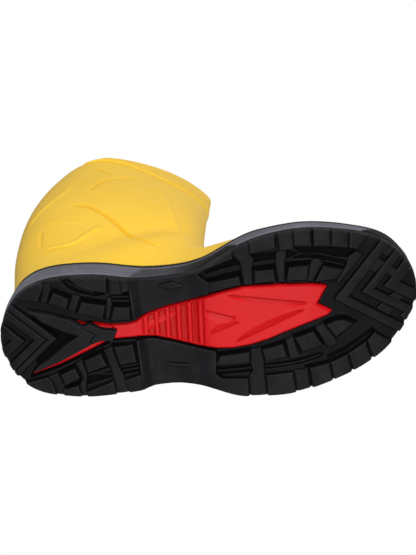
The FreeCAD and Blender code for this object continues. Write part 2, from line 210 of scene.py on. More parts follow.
class Plate:
    """A plan grid cut off along depth(a, c) = 0, with the loop round its edge."""

    def __init__(self, depth, low, high, pitch):
        a = np.arange(low[0], high[0] + pitch, pitch)
        c = np.arange(low[1], high[1] + pitch, pitch)
        aa, cc = np.meshgrid(a, c, indexing="ij")
        d = depth(aa.ravel(), cc.ravel()).reshape(aa.shape)
        sliver = 0.08 * pitch
        d[np.abs(d) < sliver] = sliver
        keep = d > 0
        index = np.full(aa.shape, -1)
        index[keep] = np.arange(keep.sum())
        points = list(np.stack([aa[keep], cc[keep]], 1))
        corner = [keep[:-1, :-1], keep[1:, :-1], keep[1:, 1:], keep[:-1, 1:]]
        filled = sum(k.astype(int) for k in corner)
        i, j = np.nonzero(filled == 4)
        faces = np.stack([index[i, j], index[i + 1, j], index[i + 1, j + 1],
                          index[i, j + 1]], 1).tolist()
        cuts = {}
        for i, j in zip(*np.nonzero((filled > 0) & (filled < 4))):
            ring = [(i, j), (i + 1, j), (i + 1, j + 1), (i, j + 1)]
            face = []
            for here, there in zip(ring, ring[1:] + ring[:1]):
                if keep[here]:
                    face.append(int(index[here]))
                if keep[here] != keep[there]:
                    key = (min(here, there), max(here, there))
                    if key not in cuts:
                        d0, d1 = d[key[0]], d[key[1]]
                        t = d0 / (d0 - d1)
                        cuts[key] = len(points)
                        points.append(np.array([
                            aa[key[0]] + t * (aa[key[1]] - aa[key[0]]),
                            cc[key[0]] + t * (cc[key[1]] - cc[key[0]])]))
                    face.append(cuts[key])
            if len(face) > 2:
                faces.append(face)
        self.plan = np.array(points)
        self.faces = faces
        self.loop = self.edge_loop()

    def edge_loop(self):
        """The points round the edge, in order."""
        used = {side for face in self.faces for side in zip(face, face[1:] + face[:1])}
        follows = {p: q for p, q in used if (q, p) not in used}
        start = max(follows, key=lambda v: self.plan[v][0])
        loop = [start]
        while follows[loop[-1]] != start:
            loop.append(follows[loop[-1]])
        return loop


def plate_solid(plate, heights, rows):
    """The plate's surface, walls up through rows of loop points, and a lid."""
    verts = np.column_stack([plate.plan, heights])
    faces = [list(f) for f in plate.faces]
    below = list(plate.loop)
    stack = [verts]
    total = len(verts)
    for row in rows:
        here = list(range(total, total + len(row)))
        total += len(row)
        stack.append(np.asarray(row))
        count = len(below)
        for k in range(count):
            n = (k + 1) % count
            faces.append([below[n], below[k], here[k], here[n]])
        below = here
    faces.append(below[::-1])
    return np.concatenate(stack), faces


# ---------------------------------------------------------------- sole shape
LUG_DEPTH = 3.2
SOLE_DEPTH = 8.0
INLAY_RECESS = 0.8
# Side profiles of the sole, as (along, height). All but the lip end in the toe's curve.
TOE_SPRING = [(200, 0), (225, 1.1), (250, 4.2), (275, 9.5), (292, 14.3), (312, 21)]
TREAD = [(-6, 5), (0, 3), (8, 0.6), (14, 0), (97, 0), (106, 6), (125, 6.2), (140, 4),
         (150, 1.2), (158, 0)]
BASE = [(-6, 5.5), (0, 4.8), (14, 3.2), (97, 3.2), (106, 7.6), (125, 7.8), (140, 6.4),
        (158, 3.2)]
SOLE_TOP = [(-6, 10), (20, 9.0), (97, 9.0), (125, 11.5), (158, 9)]
LIP = [(-6, 38.5), (30, 37), (60, 36), (91, 36), (111, 35), (131, 33.5), (149, 30.8),
       (167, 27.5), (185, 25.4), (214, 25), (241, 27), (261, 29.5), (281, 33.2), (312, 42)]
INLAY = [(-6, 8), (6, 4.4), (20, 4.0), (60, 4.0), (88, 4.2), (98, 4.8), (106, 6.9),
         (125, 7.1), (140, 4.9), (152, 2.0), (165, 0.9)]


def sprung(points, rise):
    """A profile that ends in the toe's curve, rise millimetres above the block faces."""
    return profile(points + [(along, height + rise) for along, height in TOE_SPRING])


tread_at = sprung(TREAD, 0.0)
base_at = sprung(BASE, LUG_DEPTH)
sole_top_at = sprung(SOLE_TOP, SOLE_DEPTH)
inlay_at = sprung(INLAY, INLAY_RECESS)
lip_at = profile(LIP)

OUTLINE = [(0, 0), (3, 13), (11, 27), (21, 36.5), (36, 42), (58, 43), (80, 40.5), (100, 36),
           (125, 34), (148, 37), (170, 47), (187, 54), (205, 57.5), (222, 58.3), (241, 56),
           (260, 51), (276, 44.6), (289, 35), (299, 21.6), (305, 7.5), (305, -6), (300, -17),
           (289, -32), (277, -42.6), (260, -51.4), (239, -58.4), (221, -62.6), (203, -64.8),
           (186, -64.2), (168, -62), (151, -55.4), (134, -50.4), (117, -48.4), (99, -49),
           (80, -49.6), (60, -49.3), (40, -46), (22, -39.8), (9, -27.4), (2, -13)]
EDGE_POINTS = 1700
edge_line = smooth_loop(OUTLINE, EDGE_POINTS)

# Raised blocks of the tread, whose faces lie on its side profile.
LUGS = [
    [(154, 20.5), (178, 23.5), (177, 29.5), (155, 27.5)],
    [(188, 23.5), (202.5, 23.5), (202, 32), (189, 32.5)],
    [(211, 22.5), (225, 21.5), (227, 31.5), (213.5, 32)],
    [(231.5, 19), (246.5, 18.7), (251, 24.5), (238, 29.5)],
    [(157, -29.5), (178, -28.8), (177.5, -36.5), (154, -36)],
    [(188.5, -28), (203, -25.5), (205, -35.5), (189.5, -37)],
    [(213, -22), (226, -19), (231.5, -30), (217, -33)],
    [(236.5, -15.5), (243, -13.4), (249, -13.6), (255.5, -17.5), (242.5, -25.3)],
    [(40, 26), (51.5, 21), (54.5, 27.5), (44.5, 33.5)],
    [(59.5, 16.5), (76.5, 10.5), (79.5, 19.5), (63.5, 24)],
    [(82.5, 8), (96, 7), (97, 16), (86, 17.5)],
    [(40, -30), (50.5, -26), (53, -33.5), (42, -38)],
    [(59, -21), (71, -17), (74, -26.5), (60, -30)],
    [(82, -13), (95, -12.5), (96, -26), (84, -27)],
    [(16, 33), (32, 28.5), (38, 40), (30, 48), (10, 44)],
    [(57, 43.5), (62, 37), (70, 32.5), (82, 29.5), (84, 50), (57, 50)],
    [(92.5, 28), (101, 29), (103, 50), (94.5, 50)],
    [(14, -33), (30, -30.5), (32.5, -34), (36, -52), (10, -50)],
    [(40, -41.5), (51, -40), (54, -56), (40, -56)],
    [(57, -45.5), (77, -39.5), (79, -58), (57, -58)],
    [(86, -39.5), (98, -37), (100, -58), (89.5, -58)],
    [(187, 45.8), (205, 47.5), (206, 68), (187, 66)],
    [(219, 47.5), (230.5, 45.8), (231.2, 68), (219, 68)],
    [(232.6, 45.5), (243.7, 43.6), (245.5, 66), (234, 66)],
    [(245.3, 43.2), (256.4, 40.4), (258.5, 62), (247, 62)],
    [(258, 39.8), (263.5, 38), (273, 48), (268, 62), (260, 62)],
    [(189, -48.5), (208, -48.3), (209.5, -72), (188.5, -72)],
    [(221.5, -46.8), (235.2, -45.3), (238, -70), (222.5, -70)],
    [(237, -45), (249.3, -40.8), (253, -66), (239.5, -66)],
    [(251, -40), (263.5, -34), (269, -60), (254.5, -60)],
    [(265.5, -33), (271, -28), (283, -38), (279, -54), (271, -54)],
]
WAIST = [(98.5, -62), (98.5, -10.5), (101, -9), (101, 5), (98.5, 7), (98.5, 52), (174, 60),
         (174, 43.7), (152, 37.3), (148, 34), (155, 27.5), (154, 20.5), (154, -29),
         (153, -37), (152, -43), (156, -47), (175, -49.3), (174, -70)]


def chevron(outer, inner, up, down, up_end, down_end):
    """A V bar in plan: an outer and an inner apex and an arm on each side."""
    (a0, c0), (a1, c1) = outer, inner
    return [(a0, c0), (a0 + up_end, c0 + up_end * up), (a1 + up_end, c1 + up_end * up), (a1, c1),
            (a1 + down_end, c1 - down_end * down), (a0 + down_end, c0 - down_end * down)]


BARS = [
    chevron((244, 3.5), (253.5, 3.5), 1.0, 0.75, 46, 56),
    chevron((264.5, 5), (273, 5.5), 1.0, 0.72, 40, 50),
    chevron((281, 6), (292.5, 6.5), 1.0, 0.72, 30, 30),
    chevron((17.7, -0.2), (8.5, 0.8), -1.05, -0.72, -26, -26),
    chevron((33, -0.9), (25.5, -0.5), -1.05, -0.8, -40, -40),
    chevron((40.8, -1), (35.2, -1), -1.05, -0.8, -30, -34),
]
LINKS = [
    [(270, 21), (278, 28.5), (282.5, 24), (275, 18)],
    [(281, 31), (287, 37), (291, 33), (285, 28)],
    [(274, -9.5), (278.5, -6.5), (287, -13), (283, -16.5)],
    [(291.5, -19.5), (294.5, -17), (299, -21), (296, -24)],
    [(282.5, 15.5), (287, 20), (292, 15.5), (288, 12)],
    [(284.5, -2.3), (288, -0.2), (294.5, -5), (291, -8.3)],
]
# Pockets round the blocks, cut deeper than the base level.
POCKETS = [
    [(56.5, -1.2), (45.2, 4.1), (33.5, 11.6), (27.5, 18), (26.2, 16), (42.4, -0.8),
     (23.5, -16), (24.5, -20.6), (33.5, -15.5), (45.6, -7.5)],
    [(153, 19.3), (165, 20.3), (180.5, 22.3), (178.3, 33.3), (165, 31.6), (153, 29.4)],
    [(187, 22.2), (205, 22.2), (203.6, 35.3), (187.2, 34.6)],
    [(209.2, 21.4), (225.3, 20.3), (229.3, 34.2), (211, 35.4)],
    [(229.6, 18.8), (247.2, 17.3), (255, 25.2), (238.3, 31.6)],
    [(154, 34.4), (166, 37.0), (178, 38.3), (176.5, 42.2), (165, 40.2), (156, 36.6)],
    [(188, 38.9), (204.5, 39.6), (204.5, 43.8), (188, 43.6)],
    [(213.5, 38.8), (221.3, 41.2), (213.5, 43.6)],
    [(219.5, 44.6), (224, 40.8), (236, 39), (250, 34), (256, 33), (262.5, 36.6), (250, 41.3),
     (234, 44.8)],
    [(217, 37.9), (231, 36.8), (247, 30.7), (254.3, 26.9), (253.2, 30.6), (246, 33.2),
     (235, 37.7), (224, 39.6)],
    [(154, -27), (179.8, -26.4), (178.4, -37.6), (152.5, -37.2)],
    [(187, -26.8), (205, -23), (207, -36.7), (188.4, -38)],
    [(211.3, -20), (227.5, -16.2), (234, -30.5), (216, -34.2)],
    [(234.2, -12.8), (243.5, -10.6), (250.5, -11.2), (258.8, -17.2), (242.2, -27.3)],
    [(153, -39), (177, -39.4), (187.5, -42), (177, -44.6), (153, -44)],
    [(189, -40.4), (212, -40.2), (229, -37.2), (232, -38.4), (229, -40.3), (212, -43.2),
     (189, -43.6)],
    [(235, -40), (246, -36.5), (262, -29), (270, -24.5), (270.6, -26.2), (262, -31.4),
     (248, -38.4), (235.5, -42.6)],
    [(218, -45.4), (236, -43.9), (250, -39.3), (263, -32.7), (271.5, -26.7), (264.3, -33.5),
     (250.5, -41.2), (236.8, -45.6), (219, -47.4)],
    [(38.5, 26), (52.3, 19.6), (57.3, 28.6), (45, 36.2)],
    [(58, 16), (78, 9.2), (81.5, 21.6), (63.5, 27.2)],
    [(81, 7.2), (97, 5.8), (99, 18.5), (85, 20.6)],
    [(38, -27.6), (51.3, -22.8), (55.6, -34.4), (41.5, -40.2)],
    [(57, -18.6), (73.2, -13.3), (76.6, -28.2), (59, -31.7)],
    [(80, -10.6), (96.5, -11.6), (98, -27.6), (82.6, -28.8)],
    [(50, 43), (55, 36), (62, 31.5), (74, 27.4), (80, 27.6), (70, 31.6), (61, 37), (55, 43)],
    [(85, 23.2), (99, 21.4), (99.5, 26.6), (85, 26.2)],
    [(48, -38.6), (60, -34), (76, -32.6), (76, -36.4), (62, -39), (50, -42.5)],
    [(84, -31), (98, -30.2), (99, -34), (84.5, -35.4)],
]
# Strips between the blocks, set back a little from their faces.
RUNGS = [
    [(180.6, 22.6), (186.2, 22.3), (186.8, 35), (189, 41.5), (186.2, 45), (186, 67), (176, 62),
     (174.8, 46), (179.5, 40)],
    [(205.2, 22.4), (209, 21.6), (210.6, 36), (212.5, 43.5), (208.5, 45), (205.2, 43), (204.4, 36)],
    [(208, 45), (217.8, 45), (218.2, 68), (208, 68)],
    [(225.8, 20), (229.2, 19.4), (237.6, 31.6), (236, 34.6), (231.5, 35.6), (229.4, 33)],
    [(255, 27), (256.5, 32.6), (262.6, 36), (267, 33), (262, 27.5), (247.5, 14), (247, 17)],
    [(180.2, -26.8), (186.6, -27), (188, -38), (187.4, -47), (187.2, -72), (176, -70),
     (176.4, -48), (179.5, -44), (178.8, -38)],
    [(205.8, -23.4), (210.8, -21.2), (213.6, -34), (215.4, -37.4), (208, -38.2)],
    [(209.8, -47.6), (219, -47.2), (220.4, -72), (211, -72)],
    [(228.3, -16.6), (233.8, -14.2), (241.4, -26.8), (242.4, -31), (237, -33.4), (234.4, -30)],
    [(34.2, 27.6), (38, 26.6), (42.4, 36), (43, 40), (39, 41)],
    [(53.2, 19.6), (57.4, 17.2), (62.6, 28.4), (58, 30.6)],
    [(78.8, 10), (81, 9), (84.4, 20.4), (84.6, 24), (82, 25)],
    [(84.8, 27), (92, 26.4), (93.4, 50), (85.6, 50)],
    [(31.2, -30), (37.4, -28.6), (41, -40.4), (39, -56), (37, -52), (33.6, -35)],
    [(52.2, -22.8), (56.4, -20.4), (58.6, -33), (56, -44), (56, -58), (55, -58), (52.4, -40),
     (55.8, -34)],
    [(74, -15), (79.6, -12.8), (82.2, -27.8), (85, -36), (88.4, -58), (80.2, -58),
     (78.2, -39), (77, -29)],
]
# Thin rails standing in the channels, as centre lines.
RAILS = [
    [(49, 37.2), (57, 32.2), (67, 28.2), (80, 24.4)],
    [(55, 40), (62, 34.6), (72, 29.8)],
    [(85, 24.8), (98, 23.4)],
    [(48, -36), (60, -33), (76, -34.4)],
    [(84, -33), (98, -32)],
    [(154, -41.6), (180, -42)],
    [(189, -42), (214, -41.6), (229, -38.8)],
]
INLAY_OUTLINE = [(83, 3.5), (93, 3), (100, 3.8), (108, 7.5), (122, 11), (136, 13.5),
                 (150, 16.3), (165, 19.5), (178, 21), (192, 20.7), (208, 19.3), (224, 17.5),
                 (236, 15.3), (239, 13.5), (231, 1.5), (241, -5.5), (238, -8.2), (220, -12.8),
                 (205, -17), (192, -21), (180, -23.4), (168, -24.3), (156, -23.6),
                 (142, -20.5), (126, -15.2), (112, -10.4), (100, -8.8), (90, -8.2), (79, -8)]
ARROW = [(24.5, 22), (40, 17), (53, 11.2), (61, 5), (66.5, 6.5), (74, 1.8), (84.5, -0.8),
         (81, -8), (73, -6.5), (66, -8.5), (40, -19.5), (21.5, -25), (25, -21.5),
         (34, -16.5), (46, -8), (57.5, -1.2), (45.5, 4.6), (33, 12.5)]
ARROW_BED = [(24.5, 22.5), (40, 17.5), (53.2, 11.8), (62, 7.8), (66.8, 7.8), (84.5, 3.3),
             (80.5, -7.9), (77, -9.8), (66, -14.4), (40, -23.8), (18, -29.3), (22, -23),
             (33.6, -16.2), (45.6, -7.7), (57, -1.2), (45.2, 4.3), (32.6, 12.2)]
# Wedges in the red inlay: a line, the height of its step and how far it fades.
LEDGES = [
    ([(150.5, 6.5), (172.5, -1.2)], 1.5, 7.0),
    ([(174.4, -5.2), (151, -12.5)], 1.3, 5.0),
    ([(167, 17.0), (226, 3.4)], 1.6, 6.0),
    ([(222, -1.4), (168, -21)], 1.5, 5.0),
    ([(150.2, 17), (147, -24)], 0.7, 4.0),
]
DIAMOND = [(120, 28.5), (127, 25), (137, 27), (129.5, 30.5)]
DASH = [(118, -31.5), (124, -35), (134, -35.5), (133, -33.5), (125, -33)]

POCKET_DEPTH = 2.0
WINDOW_DEPTH = 3.4
RUNG_DROP = 1.5
LINK_DROP = 0.7
MARK_RISE = 1.7
RAIL_DROP = 0.2
RAIL_HALF = 0.35
SHADE_DEPTH = 3.5
PLAN_PITCH = 0.45


def near_to(points, a, c, reach):
    """Which plan points lie in the points' box, widened by reach."""
    p = np.asarray(points, float)
    low, high = p.min(0) - reach, p.max(0) + reach
    return (a > low[0]) & (a < high[0]) & (c > low[1]) & (c < high[1])


def wall(out, slope, edge):
    """Rise of a drafted wall, out millimetres outside a block's edge."""
    return slope * 0.5 * (out + np.sqrt(out * out + edge * edge))


def raise_block(z, a, c, points, level, slope=2.6, edge=0.35, fillet=0.5):
    """Adds a block whose face is at the heights in level."""
    pick = near_to(points, a, c, 4.0)
    out = -inside_depth(points, a[pick], c[pick])
    z[pick] = soft_low(z[pick], level[pick] + wall(out, slope, edge), fillet)


def sink_pocket(z, a, c, points, level, slope=2.2, edge=0.3, fillet=0.4):
    """Cuts a pocket whose floor is at the heights in level."""
    pick = near_to(points, a, c, 4.0)
    out = -inside_depth(points, a[pick], c[pick])
    z[pick] = soft_high(z[pick], level[pick] - wall(out, slope, edge), fillet)


def tread_heights(a, c, with_windows=True):
    """Height of the black sole's underside over plan points."""
    face = tread_at(a)
    base = base_at(a)
    floor = base + POCKET_DEPTH
    z = base.copy()
    for points in POCKETS:
        sink_pocket(z, a, c, points, floor)
    for line in RAILS:
        pick = near_to(line, a, c, 3.0)
        out = distance(smooth_line(line, 2.0), a[pick], c[pick], False) - RAIL_HALF
        z[pick] = soft_low(z[pick], base[pick] - RAIL_DROP + wall(out, 2.0, 0.3), 0.4)
    for points in RUNGS:
        raise_block(z, a, c, points, face + RUNG_DROP)
    for points in LINKS:
        raise_block(z, a, c, points, face + LINK_DROP, slope=3.0)
    for points in LUGS + BARS + [WAIST]:
        raise_block(z, a, c, points, face)
    z = np.maximum(z, face)
    for points in (DIAMOND, DASH):
        raise_block(z, a, c, points, face - MARK_RISE, slope=2.0, edge=0.2, fillet=0.2)
    if with_windows:
        for points in (INLAY_OUTLINE, ARROW_BED):
            sink_pocket(z, a, c, points, base + WINDOW_DEPTH, slope=3.0)
    return z


# ---------------------------------------------------------------- materials
def attribute(tree, name):
    """A per-vertex value stored by paint."""
    return node(tree, "ShaderNodeAttribute", attribute_name=name).outputs["Fac"]


def new_material(name, base, roughness, specular=0.5):
    """A Principled material, its node tree and its shader."""
    material = bpy.data.materials.new(name)
    material.use_nodes = True
    tree = material.node_tree
    shader = tree.nodes["Principled BSDF"]
    shader.inputs["Base Color"].default_value = (*base, 1)
    shader.inputs["Roughness"].default_value = roughness
    shader.inputs["Specular IOR Level"].default_value = specular
    material.diffuse_color = (*base, 1)
    return material, tree, shader


def node(tree, kind, **settings):
    """A new node; settings that start with in_ are inputs, the rest are properties."""
    item = tree.nodes.new(kind)
    for key, value in settings.items():
        if key.startswith("in_"):
            item.inputs[key[3:].replace("_", " ")].default_value = value
        else:
            setattr(item, key, value)
    return item


def own_place(tree):
    """The piece's own coordinates, in metres."""
    return node(tree, "ShaderNodeTexCoord").outputs["Object"]


def noise(tree, scale, detail=3.0, rough=0.55):
    """A noise pattern over the piece's own coordinates, scale per metre."""
    item = node(tree, "ShaderNodeTexNoise", in_Scale=scale, in_Detail=detail, in_Roughness=rough)
    tree.links.new(own_place(tree), item.inputs["Vector"])
    return item.outputs["Fac"]


def spread(tree, value, low, high, to_low=0.0, to_high=1.0):
    """value from low..high stretched to to_low (a number or a socket)..to_high."""
    item = node(tree, "ShaderNodeMapRange", interpolation_type="SMOOTHSTEP")
    item.inputs["From Min"].default_value = low
    item.inputs["From Max"].default_value = high
    if isinstance(to_low, bpy.types.NodeSocket):
        tree.links.new(to_low, item.inputs["To Min"])
    else:
        item.inputs["To Min"].default_value = to_low
    item.inputs["To Max"].default_value = to_high
    tree.links.new(value, item.inputs["Value"])
    return item.outputs["Result"]


def blend_colour(tree, share, first, second):
    """A colour from first (a colour or a socket) to second, by share."""
    item = node(tree, "ShaderNodeMix", data_type="RGBA")
    tree.links.new(share, item.inputs["Factor"])
    for socket, value in ((item.inputs[6], first), (item.inputs[7], second)):
        if isinstance(value, bpy.types.NodeSocket):
            tree.links.new(value, socket)
        else:
            socket.default_value = (*value, 1)
    return item.outputs[2]


def wire(tree, shader, colour, rough, layers):
    """Gives a shader its colour and roughness sockets and its stacked bump layers.

    Each layer is (height socket, distance in metres, strength).
    """
    tree.links.new(colour, shader.inputs["Base Color"])
    if rough:
        tree.links.new(rough, shader.inputs["Roughness"])
    normal = None
    for height, distance, strength in layers:
        item = node(tree, "ShaderNodeBump", in_Strength=strength, in_Distance=distance)
        tree.links.new(height, item.inputs["Height"])
        if normal:
            tree.links.new(normal, item.inputs["Normal"])
        normal = item.outputs["Normal"]
    tree.links.new(normal, shader.inputs["Normal"])


def edges_of(tree, low, high):
    """0 to 1 as the surface's sharpness goes from low to high; under 0.5 the surface is concave."""
    item = node(tree, "ShaderNodeNewGeometry")
    return spread(tree, item.outputs["Pointiness"], low, high)


def rubber(name, base, worn, roughness=0.5, specular=0.3, dark_and_shade=None):
    """Moulded rubber: fine texture, faint blooming and lighter rubbed edges.

    With a last colour, a per-vertex attribute blends that colour in: black
    rubber in some places, painted shade in others. Without that colour,
    another attribute marks the recesses of the mould, which stay matt and
    carry painted shade.
    """
    material, tree, shader = new_material(name, base, roughness, specular)
    patches = spread(tree, noise(tree, 45, 4, 0.6), 0.35, 0.7)
    dust = tuple(b * 1.35 + 0.002 for b in base)
    colour = blend_colour(tree, patches, base, dust)
    rubbed = edges_of(tree, 0.505, 0.56)
    colour = blend_colour(tree, rubbed, colour, worn)
    if dark_and_shade:
        colour = blend_colour(tree, attribute(tree, "dark_and_shade"), colour, dark_and_shade)
    else:
        # Painted shade: recess floors and steep walls darken towards 0.45 of the base colour.
        recess_shade = attribute(tree, "recess_shade")
        colour = blend_colour(tree, recess_shade, colour, tuple(b * 0.45 for b in base))
    rough = spread(tree, noise(tree, 160, 3, 0.6), 0.3, 0.7, roughness - 0.07, roughness + 0.1)
    if not dark_and_shade:
        rough = spread(tree, recess_shade, 0.0, 1.0, rough, 0.9)
    wire(tree, shader, colour, rough, [(noise(tree, 1400, 2, 0.5), 0.00008, 0.35),
                                       (noise(tree, 220, 3, 0.5), 0.0002, 0.15)])
    return material


def polyurethane(name, base, deep, pale, roughness=0.42, specular=0.45):
    """Moulded PU skin: orange peel, faint flow marks and uneven gloss."""
    material, tree, shader = new_material(name, base, roughness, specular)
    flow = spread(tree, noise(tree, 14, 3, 0.6), 0.35, 0.68)
    colour = blend_colour(tree, flow, base, pale)
    # Painted shade: concave creases and the painted hollows of grooves take the deep colour.
    hollow_shade = edges_of(tree, 0.497, 0.44)
    colour = blend_colour(tree, hollow_shade, colour, deep)
    colour = blend_colour(tree, attribute(tree, "hollow_shade"), colour, deep)
    specks = spread(tree, noise(tree, 520, 5, 0.7), 0.7, 0.8, 0.0, 0.2)
    colour = blend_colour(tree, specks, colour, deep)
    rough = spread(tree, noise(tree, 25, 2, 0.5), 0.3, 0.72, roughness - 0.03, roughness + 0.05)
    wire(tree, shader, colour, rough, [(noise(tree, 1100, 2, 0.4), 0.00008, 0.15)])
    return material


WAVE_TURN = 6.28


def textile(name, base, pale, pitch, roughness=0.85):
    """Knit or weave: rows of loops of one pitch in metres, with fuzz."""
    material, tree, shader = new_material(name, base, roughness, 0.2)
    where = own_place(tree)
    heights = []
    for axis, phase in (("X", 0.0), ("Y", 1.3), ("Z", 0.6)):
        wave = node(tree, "ShaderNodeTexWave", wave_type="BANDS", bands_direction=axis,
                    in_Scale=1 / pitch / WAVE_TURN, in_Distortion=1.2, in_Detail=1.0)
        wave.inputs["Phase Offset"].default_value = phase
        tree.links.new(where, wave.inputs["Vector"])
        heights.append(wave.outputs["Fac"])
    colour = blend_colour(tree, spread(tree, heights[2], 0.2, 0.9), base, pale)
    fuzz = spread(tree, noise(tree, 700, 4, 0.7), 0.4, 0.75)
    colour = blend_colour(tree, fuzz, colour, pale)
    shader.inputs["Sheen Weight"].default_value = 0.3
    shader.inputs["Sheen Roughness"].default_value = 0.5
    wire(tree, shader, colour, None, [(height, 0.0003, 0.5) for height in heights]
         + [(noise(tree, 1500, 3, 0.6), 0.0002, 0.3)])
    return material


def board_material():
    """Pressed fibre board: pale flecks in a tan ground."""
    base, fleck = (0.42, 0.35, 0.25), (0.62, 0.56, 0.44)
    material, tree, shader = new_material("fibre_board", base, 0.9, 0.2)
    flecks = spread(tree, noise(tree, 600, 6, 0.75), 0.48, 0.62)
    colour = blend_colour(tree, flecks, base, fleck)
    rough = spread(tree, noise(tree, 200, 3), 0.3, 0.7, 0.82, 0.97)
    wire(tree, shader, colour, rough, [(noise(tree, 900, 5, 0.7), 0.0003, 0.5)])
    return material


def gel_material():
    """Soft orange gel with small trapped bubbles."""
    base, deep = (0.75, 0.26, 0.05), (0.5, 0.13, 0.02)
    material, tree, shader = new_material("gel_pad", base, 0.3, 0.5)
    cells = node(tree, "ShaderNodeTexVoronoi", in_Scale=350.0)
    tree.links.new(own_place(tree), cells.inputs["Vector"])
    bubbles = spread(tree, cells.outputs["Distance"], 0.05, 0.3, 1.0, 0.0)
    colour = blend_colour(tree, bubbles, base, deep)
    rough = spread(tree, noise(tree, 90, 3), 0.3, 0.7, 0.24, 0.42)
    wire(tree, shader, colour, rough, [(noise(tree, 400, 2), 0.0002, 0.3)])
    return material


INK = (0.003, 0.003, 0.0038)
WORN = (0.016, 0.016, 0.018)
BLACK = rubber("black_rubber", INK, WORN, 0.4, 0.16)
BLACK_ARROW = rubber("black_arrow", (0.0036, 0.0036, 0.0044), WORN, 0.42, 0.15)
GREY = rubber("grey_foam", (0.095, 0.095, 0.115), (0.14, 0.14, 0.165), 0.45, 0.3, INK)
YELLOW = polyurethane("yellow_upper", (0.90, 0.56, 0.048), (0.86, 0.46, 0.01), (0.90, 0.575, 0.058),
                      0.42, 0.14)
RED = polyurethane("red_inlay", (0.40, 0.003, 0.005), (0.27, 0.001, 0.001), (0.43, 0.004, 0.006),
                   0.28, 0.16)
KNIT = textile("knit_lining", (0.045, 0.045, 0.05), (0.11, 0.11, 0.12), 0.0011)
COVER = textile("footbed_textile", (0.02, 0.02, 0.023), (0.07, 0.07, 0.078), 0.0009, 0.8)
FOAM = rubber("footbed_foam", (0.05, 0.05, 0.056), (0.09, 0.09, 0.1), 0.8, 0.2)


# ---------------------------------------------------------------- sole pieces
def round_edge(depth, radius):
    """Rise of a face towards its rounded edge, depth millimetres inside it."""
    d = np.clip(radius - depth, 0, radius)
    return radius - np.sqrt(radius * radius - d * d)


def sole_depth(a, c):
    """Depth inside the outline, which is a little fuller where a block meets it."""
    block = np.clip(1 - (tread_heights(a, c, False) - tread_at(a)) / LUG_DEPTH, 0, 1)
    waist = ease(a, 96, 106) * (1 - ease(a, 156, 172))
    return inside_depth(edge_line[::10], a, c) + 0.25 * block * (1 - waist) - 0.15


def outward(loop):
    """Unit normals of a closed plan loop that runs from the heel to the medial side."""
    ahead = np.roll(loop, -3, 0) - np.roll(loop, 3, 0)
    ahead /= np.linalg.norm(ahead, axis=1)[:, None]
    return np.stack([-ahead[:, 1], ahead[:, 0]], 1)


EDGE_NORMALS = outward(edge_line)


def edge_near(points):
    """The nearest place on the outline for each plan point, by index."""
    out = np.empty(len(points), int)
    for i in range(0, len(points), 200):
        part = points[i:i + 200]
        out[i:i + 200] = np.argmin(((part[:, None] - edge_line[None]) ** 2).sum(2), 1)
    return out


def build_outsole():
    """The black sole: its tread and its wall up to the midsole."""
    plate = Plate(sole_depth, (-3, -67), (308, 61), PLAN_PITCH)
    a, c = plate.plan.T
    depth = sole_depth(a, c)
    z = tread_heights(a, c) + round_edge(depth, 0.6)
    loop = plate.plan[plate.loop]
    start = z[plate.loop]
    edge = edge_line[edge_near(loop)]
    top = sole_top_at(edge[:, 0])
    rows = []
    for share in (0.1, 0.28, 0.46, 0.64, 0.82, 1.0):
        plan = loop + (edge - loop) * ease(share, 0.2, 1.0)
        rows.append(np.column_stack([plan, start + (top - start) * share]))
    verts, faces = plate_solid(plate, z, rows)
    piece = make_piece("sole_tread", verts, faces, "outsole", BLACK)
    below = z - tread_at(a)
    upright = np.array([v.normal.z for v in piece.data.vertices[:len(z)]])
    # Painted shade: darker deep in the pockets and on steep walls, fading out near the outline.
    painted_shade = np.zeros(len(verts))
    painted_shade[:len(z)] = 0.45 * ease(below, 1.2, 2.4) + 0.5 * ease(below, SHADE_DEPTH, SHADE_DEPTH + 1.4)
    painted_shade[:len(z)] = np.maximum(painted_shade[:len(z)], ease(1 - np.abs(upright), 0.12, 0.5))
    painted_shade[:len(z)] *= ease(depth, 0.5, 3.0)
    paint(piece, "recess_shade", painted_shade)
    return piece


def ledge(z, a, c, line, height, reach):
    """Adds a thin wedge to an underside: a step along a line that fades to its right."""
    (a0, c0), (a1, c1) = line
    length = math.hypot(a1 - a0, c1 - c0)
    ahead, side = (a1 - a0) / length, (c1 - c0) / length
    run = ((a - a0) * ahead + (c - c0) * side) / length
    off = (a - a0) * side - (c - c0) * ahead
    width = np.maximum(reach * np.sin(np.pi * np.clip(run, 0, 1)) ** 0.6, 0.4)
    wedge = ease(off, -0.5, 0.5) * np.clip(1 - off / width, 0, 1)
    z += height * wedge * ease(run, 0.0, 0.06) * (1 - ease(run, 0.9, 1.0))


INLAY_WALL = 1.0
BED_SETBACK = 1.2
RIB_PITCH = 8.0
RIB_SLANT = 0.08
RIB_HEIGHT = 1.7


def rib_valley(a, c, depth):
    """1 in the valleys between the inlay's cross ribs, 0 on the ribs and elsewhere."""
    a = a + RIB_SLANT * (13.0 - c)
    from_ridge = np.abs(np.mod((151.4 - a) / RIB_PITCH, 1.0) - 0.5) * RIB_PITCH
    zone = ease(a, 104.5, 106) * (1 - ease(a, 149.2, 149.6)) * ease(depth, 0.4, 2.4)
    return ease(from_ridge, 0.9, 2.2) * zone


def inlay_heights(a, c):
    """Height of the red inlay's underside over plan points."""
    bed = inside_depth(ARROW_BED, a, c) - BED_SETBACK
    depth = np.maximum(inside_depth(INLAY_OUTLINE, a, c), bed)
    z = inlay_at(a) + wall(INLAY_WALL - depth, 1.7, 0.25)
    z += RIB_HEIGHT * rib_valley(a, c, depth)
    for line, height, reach in LEDGES:
        ledge(z, a, c, line, height, reach)
    return z


